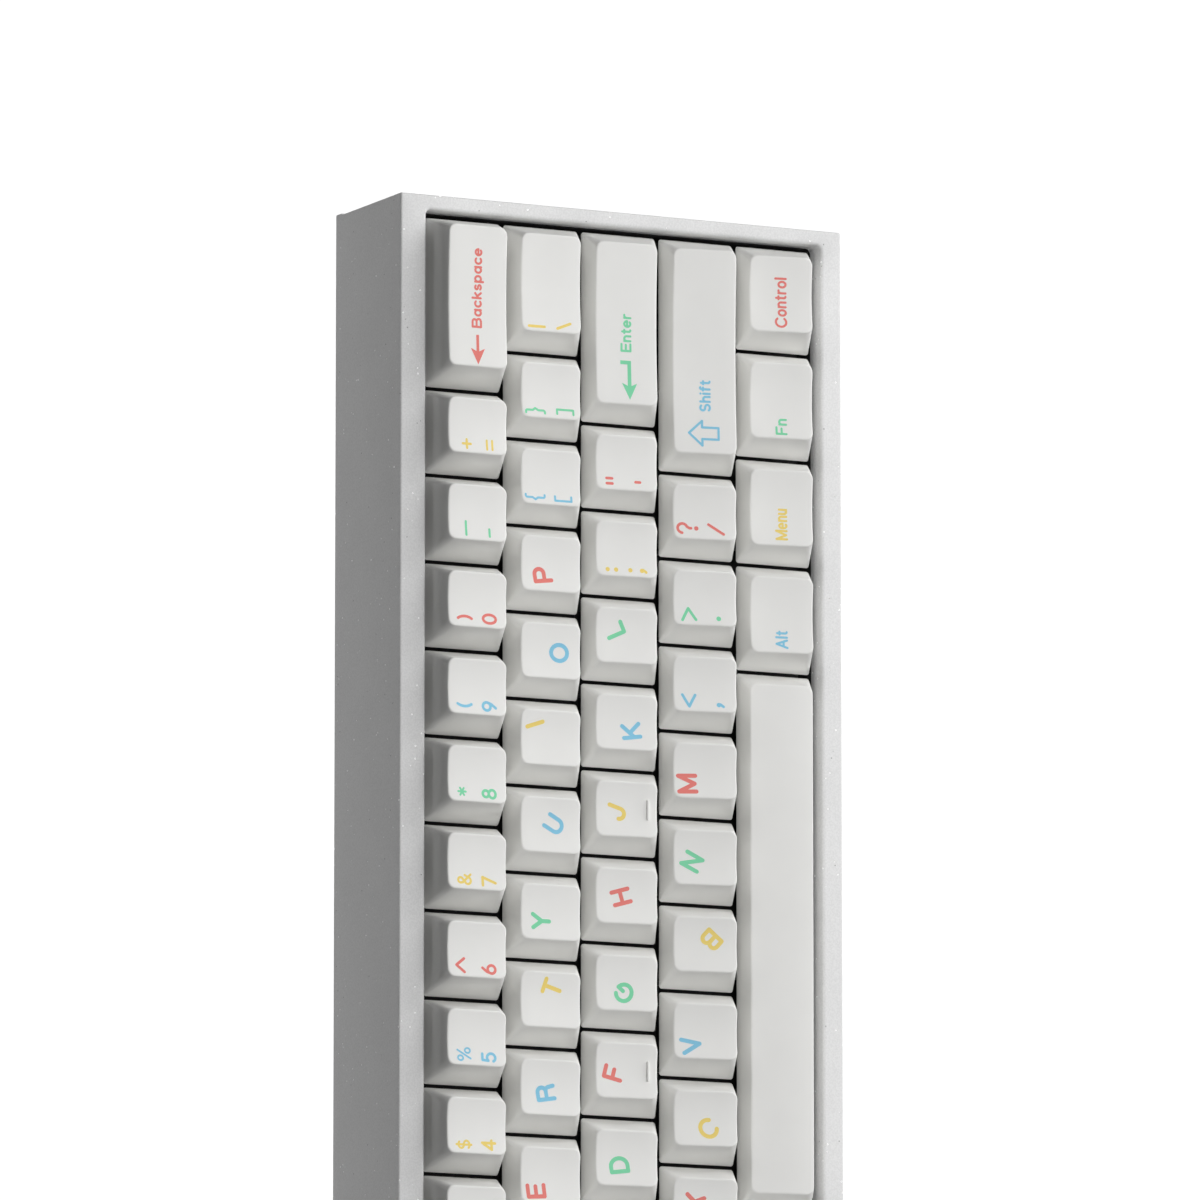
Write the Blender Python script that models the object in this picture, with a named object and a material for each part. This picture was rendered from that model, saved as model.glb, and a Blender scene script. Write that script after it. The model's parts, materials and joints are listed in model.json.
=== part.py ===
"""Mechanical keyboard, 60 % layout with 61 keys, in a high-profile wedge case.

Everything that lies parallel to the switch plate is modelled in the plate's own frame: X along
the rows, Y from the front row to the rear row, Z along the key travel, with Z = 0 in the plane
of the keycaps' lower edges. That frame is the empty "plate_frame", tilted by the typing angle.
The world origin is below the middle of the keyboard, on the desk, with +X to the right and +Y
to the rear.
"""

import math

import bmesh
import bpy
from mathutils import Matrix, Vector

MM = 0.001

# Driving dimensions, in millimetres and degrees.
KEY_PITCH = 19.05
ROW_COUNT = 5
LAYOUT_UNITS = 15.0
TYPING_ANGLE = 6.0

KEY_GAP = 0.96
CAP_SIDE_TAPER = 3.0
CAP_FRONT_TAPER = 3.9
CAP_REAR_TAPER = 0.1
CAP_DISH_DEPTH = 0.6
CAP_WALL = 1.4
CAP_CEILING = 4.8
DISH_STEPS = 4
POCKET_OVERSHOOT = 1.0
STEM_WIDTH = 5.0
STEM_BOTTOM = -7.0
TAB_WIDTH = 3.0
TAB_HEIGHT = 1.0

BEZEL_TOP = 3.9
OPENING_CLEARANCE = 0.9
END_BORDER = 4.1
FRONT_BORDER = 5.75
REAR_BORDER = 7.1
REAR_WALL_HEIGHT = 33.0
CASE_EDGE_ROUND = 0.6
BEVEL_STEPS = 2
LEDGE_TOP = -8.4
LEDGE_END = 2.6
LEDGE_SIDE = 2.1

PLATE_TOP = -6.6
PLATE_THICKNESS = 1.5
PLATE_HOLE = 14.2
PLATE_CLEARANCE = 0.6
PCB_TOP = -11.6
PCB_THICKNESS = 1.6

HOUSING_LOWER = 13.6
HOUSING_FLANGE = 15.4
FLANGE_THICKNESS = 0.9
HOUSING_OVERLAP = 0.4
HOUSING_TOP_WIDTH = 10.6
HOUSING_BORE = 6.4
RUNNER = 1.0
RUNNER_OFFSET = 6.0
RUNNER_LIFT = 0.5
RAIL_EXTRA = 0.2
RAIL_INSET = 3.0

COVER_THICKNESS = 2.5
SCREW_HOLE = 2.4
SCREW_SIDE_INSET = 2.2
SCREW_END_INSET = 6.0
SCREW_SIDES = 12
FOOT_HEIGHT = 2.0
FOOT_LENGTH = 240.0
FOOT_WIDTH = 9.0
FOOT_INSET = 13.0
FOOT_CORNER = 3.6
FOOT_CORNER_STEPS = 3

# Space left between pieces, how far a cutter runs past what it cuts, and a length beyond the case.
GAP = 0.3
OVERCUT = 5.0
FAR = 60.0

SOCKET_X = -123.8
SOCKET_WIDTH = 9.0
SOCKET_DEPTH = 7.4
SOCKET_HEIGHT = 3.2
SOCKET_WALL = 0.35
SOCKET_BACK = 1.2
TONGUE_WIDTH = 6.6
TONGUE_THICKNESS = 0.7
TONGUE_ROOT = 0.6
TONGUE_INSET = 0.8
PORT_WIDTH = 13.0
PORT_HEIGHT = 7.5

# Keys of each row from left to right, rear row first: name and width in key units.
ROWS = (
    (("grave", 1), ("1", 1), ("2", 1), ("3", 1), ("4", 1), ("5", 1), ("6", 1), ("7", 1),
     ("8", 1), ("9", 1), ("0", 1), ("minus", 1), ("equals", 1), ("backspace", 2)),
    (("tab", 1.5), ("q", 1), ("w", 1), ("e", 1), ("r", 1), ("t", 1), ("y", 1), ("u", 1),
     ("i", 1), ("o", 1), ("p", 1), ("left_bracket", 1), ("right_bracket", 1),
     ("backslash", 1.5)),
    (("caps_lock", 1.75), ("a", 1), ("s", 1), ("d", 1), ("f", 1), ("g", 1), ("h", 1),
     ("j", 1), ("k", 1), ("l", 1), ("semicolon", 1), ("quote", 1), ("enter", 2.25)),
    (("left_shift", 2.25), ("z", 1), ("x", 1), ("c", 1), ("v", 1), ("b", 1), ("n", 1),
     ("m", 1), ("comma", 1), ("full_stop", 1), ("slash", 1), ("right_shift", 2.75)),
    (("left_control", 1.25), ("left_command", 1.25), ("left_alt", 1.25), ("space", 6.25),
     ("right_alt", 1.25), ("menu", 1.25), ("fn", 1.25), ("right_control", 1.25)),
)
# Height of the cap's top at its rear edge and at its front edge, rear row first.
CAP_TOPS = ((11.7, 11.6), (8.8, 9.3), (7.0, 8.6), (6.7, 9.5), (6.7, 9.25))
# Keys at the left end of each row that share one body.
JOINED_KEYS = (3, 3, 3, 2, 3)

# Dimensions that follow from the ones above.
LAYOUT_X = LAYOUT_UNITS * KEY_PITCH / 2
LAYOUT_Y = ROW_COUNT * KEY_PITCH
CASE_X = LAYOUT_X + END_BORDER
CASE_FRONT = -FRONT_BORDER
CASE_REAR = LAYOUT_Y + REAR_BORDER
REAR_BOTTOM = BEZEL_TOP - REAR_WALL_HEIGHT
SLOPE = math.tan(math.radians(TYPING_ANGLE))
CAP_DEPTH = KEY_PITCH - KEY_GAP
HOUSING_BOTTOM = PCB_TOP + GAP
FLANGE_BOTTOM = PLATE_TOP + GAP
FLANGE_TOP = FLANGE_BOTTOM + FLANGE_THICKNESS
SOCKET_TOP = PCB_TOP - PCB_THICKNESS - GAP
SOCKET_MIDDLE = SOCKET_TOP - SOCKET_HEIGHT / 2
SOCKET_REAR = LAYOUT_Y - LEDGE_SIDE - GAP
TILT = Matrix.Rotation(math.radians(TYPING_ANGLE), 4, "X")


def frame_offset():
    """Shift, in millimetres, that centres the tilted case over the world origin."""
    rounding = CASE_EDGE_ROUND
    centre = TILT @ Vector((0, CASE_FRONT + rounding, BEZEL_TOP - rounding))
    front = centre.y - rounding
    rear_foot = TILT @ Vector((0, CASE_REAR, REAR_BOTTOM))
    return Vector((0, -(front + rear_foot.y) / 2, FOOT_HEIGHT + GAP - rear_foot.z))


OFFSET = frame_offset()


def on_desk(y, z):
    """World Y and Z, in millimetres, of a point of the plate's frame."""
    point = TILT @ Vector((0, y, z)) + OFFSET
    return point.y, point.z


def case_bottom(y):
    """Height of the case's lower edge in the plate's frame."""
    return REAR_BOTTOM + (CASE_REAR - y) * SLOPE


def key_places():
    """Yields name, row index, index in the row, width, and centre X and Y of every key."""
    for row, keys in enumerate(ROWS):
        left = -LAYOUT_X
        y = (ROW_COUNT - row - 0.5) * KEY_PITCH
        for index, (name, units) in enumerate(keys):
            width = units * KEY_PITCH
            yield name, row, index, width - KEY_GAP, left + width / 2, y
            left += width


def clear_scene():
    for obj in list(bpy.data.objects):
        bpy.data.objects.remove(obj, do_unlink=True)


def new_collection(name):
    collection = bpy.data.collections.new(name)
    bpy.context.scene.collection.children.link(collection)
    return collection


def new_material(name, colour, roughness, metallic=0.0):
    material = bpy.data.materials.new(name)
    material.use_nodes = True
    shader = material.node_tree.nodes["Principled BSDF"]
    shader.inputs["Base Color"].default_value = (*colour, 1.0)
    shader.inputs["Roughness"].default_value = roughness
    shader.inputs["Metallic"].default_value = metallic
    return material


def new_object(name, bm, collection, parent=None, material=None):
    """Makes an object from a bmesh in millimetres, which it frees."""
    bmesh.ops.scale(bm, vec=(MM, MM, MM), verts=bm.verts)
    bmesh.ops.recalc_face_normals(bm, faces=bm.faces)
    mesh = bpy.data.meshes.new(name)
    bm.to_mesh(mesh)
    bm.free()
    obj = bpy.data.objects.new(name, mesh)
    obj.parent = parent
    if material:
        mesh.materials.append(material)
    collection.objects.link(obj)
    return obj


def new_cutter(name, bm, collection, parent=None):
    obj = new_object(name, bm, collection, parent)
    obj.hide_render = True
    obj.display_type = "WIRE"
    return obj


def combine(obj, other, operation):
    modifier = obj.modifiers.new(operation.lower() + "_" + other.name, "BOOLEAN")
    modifier.operation = operation
    modifier.solver = "EXACT"
    modifier.object = other


def add_box(bm, low, high):
    """Adds a box between two corners and returns its vertices."""
    low = Vector(low)
    high = Vector(high)
    size = high - low
    matrix = Matrix.Translation((low + high) / 2) @ Matrix.Diagonal((*size, 1.0))
    return bmesh.ops.create_cube(bm, size=1.0, matrix=matrix)["verts"]


def box(low, high):
    bm = bmesh.new()
    add_box(bm, low, high)
    return bm


def add_sloped_box(bm, x, front, rear, rise, top=None):
    """Adds a box that starts `rise` above the case's sloping lower edge and ends at `top`.

    With no `top` it reaches from there to far below the case instead.
    """
    verts = add_box(bm, (-x, front, -FAR), (x, rear, FAR))
    for vert in verts:
        lower = vert.co.z < 0
        if lower == (top is not None):
            vert.co.z = case_bottom(vert.co.y) + rise
        elif not lower:
            vert.co.z = top


def add_frustum(bm, low_width, high_width, low, high, x, y):
    """Adds a square block that tapers from one width to another."""
    half = low_width / 2
    verts = add_box(bm, (x - half, y - half, low), (x + half, y + half, high))
    ratio = high_width / low_width
    for vert in verts:
        if vert.co.z > (low + high) / 2:
            vert.co.x = x + (vert.co.x - x) * ratio
            vert.co.y = y + (vert.co.y - y) * ratio


def cap_outline_at(width, height, rear_top, front_top):
    """Half width, front Y and rear Y of a cap's outside at a height above its lower edge."""
    share = height / ((rear_top + front_top) / 2)
    half = width / 2 - CAP_SIDE_TAPER * share
    front = -CAP_DEPTH / 2 + CAP_FRONT_TAPER * share
    rear = CAP_DEPTH / 2 - CAP_REAR_TAPER * share
    return half, front, rear


def cap_body(width, row, name):
    """Outside of a keycap: a tapered block with a tilted, dished top."""
    rear_top, front_top = CAP_TOPS[row]
    bm = bmesh.new()
    bmesh.ops.create_grid(bm, x_segments=DISH_STEPS, y_segments=1, size=0.5)
    for vert in bm.verts:
        vert.co.x *= width
        vert.co.y *= CAP_DEPTH
    raised = bmesh.ops.extrude_face_region(bm, geom=bm.faces[:])["geom"]
    dish = 0.0 if name == "space" else CAP_DISH_DEPTH
    for vert in [item for item in raised if isinstance(item, bmesh.types.BMVert)]:
        side = 2 * vert.co.x / width
        at_rear = vert.co.y > 0
        vert.co.x = side * (width / 2 - CAP_SIDE_TAPER)
        vert.co.y += -CAP_REAR_TAPER if at_rear else CAP_FRONT_TAPER
        vert.co.z = (rear_top if at_rear else front_top) + dish * side * side
    return bm


def add_cap_pocket(bm, width, row):
    """Hollow of a keycap, open at the bottom."""
    half, front, rear = cap_outline_at(width, CAP_CEILING, *CAP_TOPS[row])
    low = (-width / 2, -CAP_DEPTH / 2, -POCKET_OVERSHOOT)
    verts = add_box(bm, low, (width / 2, CAP_DEPTH / 2, CAP_CEILING))
    for vert in verts:
        if vert.co.z > 0:
            vert.co.x = math.copysign(half, vert.co.x)
            vert.co.y = rear if vert.co.y > 0 else front
        vert.co.x -= math.copysign(CAP_WALL, vert.co.x)
        vert.co.y -= math.copysign(CAP_WALL, vert.co.y)


def make_key(place, parent, parts, cutters, material):
    """Keycap with the stem that it presses on, as one hollow solid."""
    name, row, _, width, x, y = place
    key = new_object("key_" + name, cap_body(width, row, name), parts, parent, material)
    pocket_bm = bmesh.new()
    add_cap_pocket(pocket_bm, width, row)
    pocket = new_cutter("pocket_" + name, pocket_bm, cutters, parent)
    half = STEM_WIDTH / 2
    stem_bm = box((-half, -half, STEM_BOTTOM), (half, half, CAP_CEILING + CAP_WALL / 2))
    stem = new_cutter("stem_" + name, stem_bm, cutters, parent)
    for obj in (key, pocket, stem):
        obj.location = (x * MM, y * MM, 0)
    combine(key, pocket, "DIFFERENCE")
    combine(key, stem, "UNION")
    return key


def join_keys(name, keys, places, parent, cutters):
    """Joins neighbouring keys into one solid with a small tab across each gap between them."""
    first = keys[0]
    first.name = name
    for place, other in zip(places[1:], keys[1:]):
        cutters.objects.link(other)
        other.users_collection[0].objects.unlink(other)
        other.hide_render = True
        other.display_type = "WIRE"
        edge = place[4] - place[3] / 2 - KEY_GAP / 2
        reach = KEY_GAP / 2 + CAP_WALL / 2
        low = (edge - reach, place[5] - TAB_WIDTH / 2, GAP)
        high = (edge + reach, place[5] + TAB_WIDTH / 2, GAP + TAB_HEIGHT)
        tab = new_cutter("tab_" + other.name, box(low, high), cutters, parent)
        combine(first, other, "UNION")
        combine(first, tab, "UNION")


def make_keys(parent, parts, cutters, material):
    rows = {}
    for place in key_places():
        rows.setdefault(place[1], []).append(place)
    for row, places in rows.items():
        keys = [make_key(place, parent, parts, cutters, material) for place in places]
        count = JOINED_KEYS[row]
        name = "left_keys_row_" + str(row + 1)
        join_keys(name, keys[:count], places[:count], parent, cutters)


def make_case_frame(parent, parts, cutters, material):
    """Outer walls and bezel in one piece, with a ledge under the plate and the cable port."""
    bm = bmesh.new()
    add_sloped_box(bm, CASE_X, CASE_FRONT, CASE_REAR, 0.0, BEZEL_TOP)
    rounded = [edge for edge in bm.edges if any(vert.co.z > 0 for vert in edge.verts)]
    bmesh.ops.bevel(bm, geom=rounded, offset=CASE_EDGE_ROUND, segments=BEVEL_STEPS,
                    affect="EDGES", profile=0.5)
    frame = new_object("case_frame", bm, parts, parent, material)
    opening_x = LAYOUT_X + OPENING_CLEARANCE
    opening_rear = LAYOUT_Y + OPENING_CLEARANCE
    low = (-opening_x, -OPENING_CLEARANCE, LEDGE_TOP)
    high = (opening_x, opening_rear, BEZEL_TOP + OVERCUT)
    key_well = new_cutter("key_well", box(low, high), cutters, parent)
    inner_x = opening_x - LEDGE_END
    inner_front = LEDGE_SIDE - OPENING_CLEARANCE
    inner_rear = opening_rear - LEDGE_SIDE
    low = (-inner_x, inner_front, REAR_BOTTOM - OVERCUT)
    high = (inner_x, inner_rear, LEDGE_TOP + GAP)
    inside = new_cutter("inside_well", box(low, high), cutters, parent)
    recess_bm = bmesh.new()
    depth = COVER_THICKNESS + GAP
    add_sloped_box(recess_bm, opening_x, -OPENING_CLEARANCE, opening_rear, depth)
    recess = new_cutter("cover_recess", recess_bm, cutters, parent)
    half = PORT_WIDTH / 2
    low = (SOCKET_X - half, inner_rear - GAP, SOCKET_MIDDLE - PORT_HEIGHT / 2)
    high = (SOCKET_X + half, CASE_REAR + OVERCUT, SOCKET_MIDDLE + PORT_HEIGHT / 2)
    port = new_cutter("cable_port", box(low, high), cutters, parent)
    for cutter in (key_well, inside, recess, port):
        combine(frame, cutter, "DIFFERENCE")


def make_switch_plate(parent, parts, cutters, material):
    margin = OPENING_CLEARANCE - PLATE_CLEARANCE
    low = (-LAYOUT_X - margin, -margin, PLATE_TOP - PLATE_THICKNESS)
    high = (LAYOUT_X + margin, LAYOUT_Y + margin, PLATE_TOP)
    plate = new_object("switch_plate", box(low, high), parts, parent, material)
    holes = bmesh.new()
    half = PLATE_HOLE / 2
    bottom = PLATE_TOP - PLATE_THICKNESS - OVERCUT
    for _, _, _, _, x, y in key_places():
        add_box(holes, (x - half, y - half, bottom), (x + half, y + half, PLATE_TOP + OVERCUT))
    combine(plate, new_cutter("switch_holes", holes, cutters, parent), "DIFFERENCE")


def row_fronts():
    """X and Y of the front of the first switch housing in each row, where a runner starts."""
    return [(x, y - RUNNER_OFFSET) for _, _, index, _, x, y in key_places() if index == 0]


def runner_cutters(parent, cutters):
    """A runner below the plate along each row, and a rail at the right end that joins the runners."""
    starts = row_fronts()
    rail_x = LAYOUT_X - RAIL_INSET
    lift = HOUSING_BOTTOM + RUNNER_LIFT
    half = RUNNER / 2
    runners = bmesh.new()
    for x, y in starts:
        add_box(runners, (x, y - half, lift), (rail_x - half, y + half, lift + RUNNER))
    front = min(y for _, y in starts) - half
    rear = max(y for _, y in starts) + half
    low = (rail_x - RUNNER, front, lift - RAIL_EXTRA)
    rail = box(low, (rail_x, rear, lift + RUNNER + RAIL_EXTRA))
    yield new_cutter("runners", runners, cutters, parent)
    yield new_cutter("runner_rail", rail, cutters, parent)


def make_housings(parent, parts, cutters, material):
    """All switch housings, joined by thin runners so that they make one solid."""
    lower = bmesh.new()
    flanges = bmesh.new()
    uppers = bmesh.new()
    bores = bmesh.new()
    bore = HOUSING_BORE / 2
    flange_base = FLANGE_BOTTOM + HOUSING_OVERLAP
    upper_base = FLANGE_TOP - HOUSING_OVERLAP
    for _, _, _, _, x, y in key_places():
        add_frustum(lower, HOUSING_LOWER, HOUSING_LOWER, HOUSING_BOTTOM, flange_base, x, y)
        add_frustum(flanges, HOUSING_FLANGE, HOUSING_FLANGE, FLANGE_BOTTOM, FLANGE_TOP, x, y)
        add_frustum(uppers, PLATE_HOLE, HOUSING_TOP_WIDTH, upper_base, -GAP / 2, x, y)
        low = (x - bore, y - bore, HOUSING_BOTTOM - OVERCUT)
        add_box(bores, low, (x + bore, y + bore, OVERCUT))
    housings = new_object("switch_housings", lower, parts, parent, material)
    combine(housings, new_cutter("housing_flanges", flanges, cutters, parent), "UNION")
    combine(housings, new_cutter("housing_tops", uppers, cutters, parent), "UNION")
    for cutter in runner_cutters(parent, cutters):
        combine(housings, cutter, "UNION")
    combine(housings, new_cutter("stem_bores", bores, cutters, parent), "DIFFERENCE")


def make_pcb(parent, parts, material):
    x = LAYOUT_X + OPENING_CLEARANCE - LEDGE_END - GAP
    margin = LEDGE_SIDE - OPENING_CLEARANCE + GAP
    low = (-x, margin, PCB_TOP - PCB_THICKNESS)
    new_object("circuit_board", box(low, (x, LAYOUT_Y - margin, PCB_TOP)), parts, parent, material)


def make_usb_socket(parent, parts, cutters, material):
    """Receptacle shell, open to the rear, with the contact tongue inside."""
    half = SOCKET_WIDTH / 2
    front = SOCKET_REAR - SOCKET_DEPTH
    bottom = SOCKET_TOP - SOCKET_HEIGHT
    shell = box((SOCKET_X - half, front, bottom), (SOCKET_X + half, SOCKET_REAR, SOCKET_TOP))
    socket = new_object("usb_socket", shell, parts, parent, material)
    low = (SOCKET_X - half + SOCKET_WALL, front + SOCKET_BACK, bottom + SOCKET_WALL)
    high = (SOCKET_X + half - SOCKET_WALL, SOCKET_REAR + OVERCUT, SOCKET_TOP - SOCKET_WALL)
    mouth = new_cutter("socket_mouth", box(low, high), cutters, parent)
    tongue_x = TONGUE_WIDTH / 2
    tongue_z = TONGUE_THICKNESS / 2
    low = (SOCKET_X - tongue_x, front + TONGUE_ROOT, SOCKET_MIDDLE - tongue_z)
    high = (SOCKET_X + tongue_x, SOCKET_REAR - TONGUE_INSET, SOCKET_MIDDLE + tongue_z)
    tongue = new_cutter("socket_tongue", box(low, high), cutters, parent)
    combine(socket, mouth, "DIFFERENCE")
    combine(socket, tongue, "UNION")


def cover_limits():
    """World Y of the front and the rear edge of the bottom cover."""
    front_y = -OPENING_CLEARANCE
    rear_y = LAYOUT_Y + OPENING_CLEARANCE
    front, _ = on_desk(front_y, case_bottom(front_y))
    rear, _ = on_desk(rear_y, case_bottom(rear_y) + COVER_THICKNESS)
    return front + GAP, rear - GAP


def make_bottom_cover(parts, cutters, material):
    front, rear = cover_limits()
    x = LAYOUT_X + OPENING_CLEARANCE - GAP
    bottom = FOOT_HEIGHT + GAP
    cover_bm = box((-x, front, bottom), (x, rear, bottom + COVER_THICKNESS))
    cover = new_object("bottom_cover", cover_bm, parts, None, material)
    holes = bmesh.new()
    radius = SCREW_HOLE / 2
    for side in (-1, 1):
        for y in (front + SCREW_END_INSET, (front + rear) / 2, rear - SCREW_END_INSET):
            place = Matrix.Translation((side * (x - SCREW_SIDE_INSET), y, bottom))
            bmesh.ops.create_cone(holes, cap_ends=True, segments=SCREW_SIDES, radius1=radius,
                                  radius2=radius, depth=2 * OVERCUT, matrix=place)
    combine(cover, new_cutter("screw_holes", holes, cutters), "DIFFERENCE")


def make_foot(name, y, parts, material):
    half_width = FOOT_WIDTH / 2
    low = (-FOOT_LENGTH / 2, y - half_width, 0)
    bm = box(low, (FOOT_LENGTH / 2, y + half_width, FOOT_HEIGHT))
    upright = [edge for edge in bm.edges if edge.verts[0].co.z != edge.verts[1].co.z]
    bmesh.ops.bevel(bm, geom=upright, offset=FOOT_CORNER, segments=FOOT_CORNER_STEPS,
                    affect="EDGES", profile=0.5)
    new_object(name, bm, parts, None, material)


def make_feet(parts, material):
    front, rear = cover_limits()
    make_foot("rubber_foot_front", front + FOOT_INSET, parts, material)
    make_foot("rubber_foot_rear", rear - FOOT_INSET, parts, material)


def main():
    clear_scene()
    parts = new_collection("mechanical_keyboard")
    cutters = new_collection("cutters")
    plate_frame = bpy.data.objects.new("plate_frame", None)
    plate_frame.matrix_world = Matrix.Translation(OFFSET * MM) @ TILT
    parts.objects.link(plate_frame)
    case_grey = new_material("speckled_case", (0.72, 0.72, 0.71), 0.55)
    cap_white = new_material("keycap_white", (0.80, 0.80, 0.78), 0.45)
    plate_metal = new_material("plate_metal", (0.30, 0.30, 0.31), 0.35, 1.0)
    housing_black = new_material("housing_black", (0.02, 0.02, 0.02), 0.5)
    board_black = new_material("board_black", (0.015, 0.02, 0.018), 0.4)
    socket_metal = new_material("socket_metal", (0.62, 0.62, 0.60), 0.3, 1.0)
    rubber = new_material("rubber", (0.05, 0.05, 0.05), 0.8)
    make_case_frame(plate_frame, parts, cutters, case_grey)
    make_bottom_cover(parts, cutters, case_grey)
    make_feet(parts, rubber)
    make_switch_plate(plate_frame, parts, cutters, plate_metal)
    make_pcb(plate_frame, parts, board_black)
    make_housings(plate_frame, parts, cutters, housing_black)
    make_usb_socket(plate_frame, parts, cutters, socket_metal)
    make_keys(plate_frame, parts, cutters, cap_white)


main()
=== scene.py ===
"""Looks of the mechanical keyboard: keycaps with coloured legends, the blasted case and its inner parts.

Shapes are made in the frame of the switch plate, in millimetres: X along the key rows, Y from the front
row to the rear row, Z along the key travel, with Z = 0 in the plane of the keycaps' lower edges. PLACE
turns that frame into the world's.
"""

import json
import math

import bmesh
import bpy
from mathutils import Euler, Matrix, Vector
from mathutils.geometry import delaunay_2d_cdt

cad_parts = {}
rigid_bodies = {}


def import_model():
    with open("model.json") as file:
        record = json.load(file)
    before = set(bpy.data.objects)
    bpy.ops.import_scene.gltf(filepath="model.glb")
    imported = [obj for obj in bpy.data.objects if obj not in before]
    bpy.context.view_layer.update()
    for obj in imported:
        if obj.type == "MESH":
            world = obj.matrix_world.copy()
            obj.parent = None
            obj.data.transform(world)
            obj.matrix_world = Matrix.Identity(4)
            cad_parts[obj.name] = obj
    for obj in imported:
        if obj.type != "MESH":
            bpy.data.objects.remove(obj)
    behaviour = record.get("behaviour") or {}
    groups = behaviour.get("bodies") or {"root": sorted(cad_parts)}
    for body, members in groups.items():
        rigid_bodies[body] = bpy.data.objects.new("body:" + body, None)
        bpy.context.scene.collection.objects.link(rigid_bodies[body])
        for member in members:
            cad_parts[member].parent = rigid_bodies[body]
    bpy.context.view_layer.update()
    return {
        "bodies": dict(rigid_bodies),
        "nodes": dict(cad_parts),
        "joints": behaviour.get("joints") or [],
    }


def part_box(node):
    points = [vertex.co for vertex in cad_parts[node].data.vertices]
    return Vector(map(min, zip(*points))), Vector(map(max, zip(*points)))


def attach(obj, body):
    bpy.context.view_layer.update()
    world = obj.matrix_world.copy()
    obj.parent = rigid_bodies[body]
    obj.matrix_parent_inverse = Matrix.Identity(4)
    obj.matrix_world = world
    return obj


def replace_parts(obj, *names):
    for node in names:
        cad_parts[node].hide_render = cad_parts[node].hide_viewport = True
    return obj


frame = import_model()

MM = 0.001

# The camera, in metres and degrees.
CAMERA_PLACE = (-0.341382, 0.926031, 2.463101)
CAMERA_TURN = (8.783925, -20.756835, -90.006865)
CAMERA_LENS = 362.257

# The switch plate's upper face lies this far below the keycaps' lower edges, and it is this much larger
# than the field of keys on each side.
PLATE_DEPTH = 6.6
PLATE_MARGIN = 0.3

# Keycaps and the parts under them, in millimetres, and the steps that their shapes are sampled with. A
# tapering side leans in by its taper from the lower edge to the top, and the flare of the skirt narrows the
# gaps between the caps.
KEY_PITCH = 19.05
KEY_GAP = 0.96
CAP_SIDE_TAPER = 3.0
CAP_FRONT_TAPER = 3.9
CAP_REAR_TAPER = 0.1
CAP_DISH = 0.65
SPACE_CROWN = 0.35
SKIRT_CORNER = 0.6
SKIRT_FLARE = 0.12
TOP_REAR_CORNER = 1.7
TOP_FRONT_CORNER = 1.9
RIM_ROUND = 0.42
LOWER_EDGE = 0.12
SIDE_HEIGHT = 11.0
CAP_WALL = 1.4
CAP_CEILING = 4.8
BOSS_RADIUS = 2.75
BOSS_BOTTOM = 1.2
BOSS_SINK = 0.3
BOSS_CHAMFER = 0.2
ROUND_STEPS = 24
STEM_WIDTH = 5.0
STEM_DEPTH = 7.0
STEM_SHOULDER = -3.0
STEM_CORNER = 0.5
CROSS_REACH = 2.0
CROSS_HALF = 0.6
CROSS_HEIGHT = 3.0
CROSS_SINK = 0.5
HOMING_LENGTH = 3.9
HOMING_WIDTH = 0.55
HOMING_Y = -2.95
CORNER_STEPS = 5
RIM_STEPS = 5
SIDE_STEPS = 3
DEPTH_STEPS = 6
STRAIGHT_STEP = 1.6

# Insets of the homing bar's outline and their heights over the cap's top, from below.
HOMING_PROFILE = ((0.0, -0.3), (0.0, 0.231), (0.08, 0.378), (0.2, 0.42))

# Height of the cap's top at its rear edge and at its front edge, rear row first.
CAP_TOPS = ((11.7, 11.6), (8.8, 9.3), (7.0, 8.6), (6.7, 9.5), (6.7, 9.25))

# Names of the keys in each row, rear row first, and the widths of the wide ones in units of the pitch.
ROWS = (
    "grave 1 2 3 4 5 6 7 8 9 0 minus equals backspace".split(),
    "tab q w e r t y u i o p left_bracket right_bracket backslash".split(),
    "caps_lock a s d f g h j k l semicolon quote enter".split(),
    "left_shift z x c v b n m comma full_stop slash right_shift".split(),
    "left_control left_command left_alt space right_alt menu fn right_control".split(),
)
WIDTHS = {
    "backspace": 2, "tab": 1.5, "backslash": 1.5, "caps_lock": 1.75, "enter": 2.25, "left_shift": 2.25,
    "right_shift": 2.75, "left_control": 1.25, "left_command": 1.25, "left_alt": 1.25, "space": 6.25,
    "right_alt": 1.25, "menu": 1.25, "fn": 1.25, "right_control": 1.25,
}

# Legends, in millimetres from the middle of the cap. A letter has its colour, its place and its turn in
# degrees. A pair of symbols stands at the cap's left edge. A word has its colour, the X of its two ends and
# its height. Heights and ends are those of the painted shape, and stroke widths are taken off them.
LETTER = 4.74
LETTER_STROKE = 0.92
TIER = 3.7
TIER_STROKE = 0.62
TIER_MARGIN = 0.75
UPPER_Y = 5.0
LOWER_Y = -0.95
WORD_STROKE = 0.5
WORD_Y = 2.0

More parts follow.
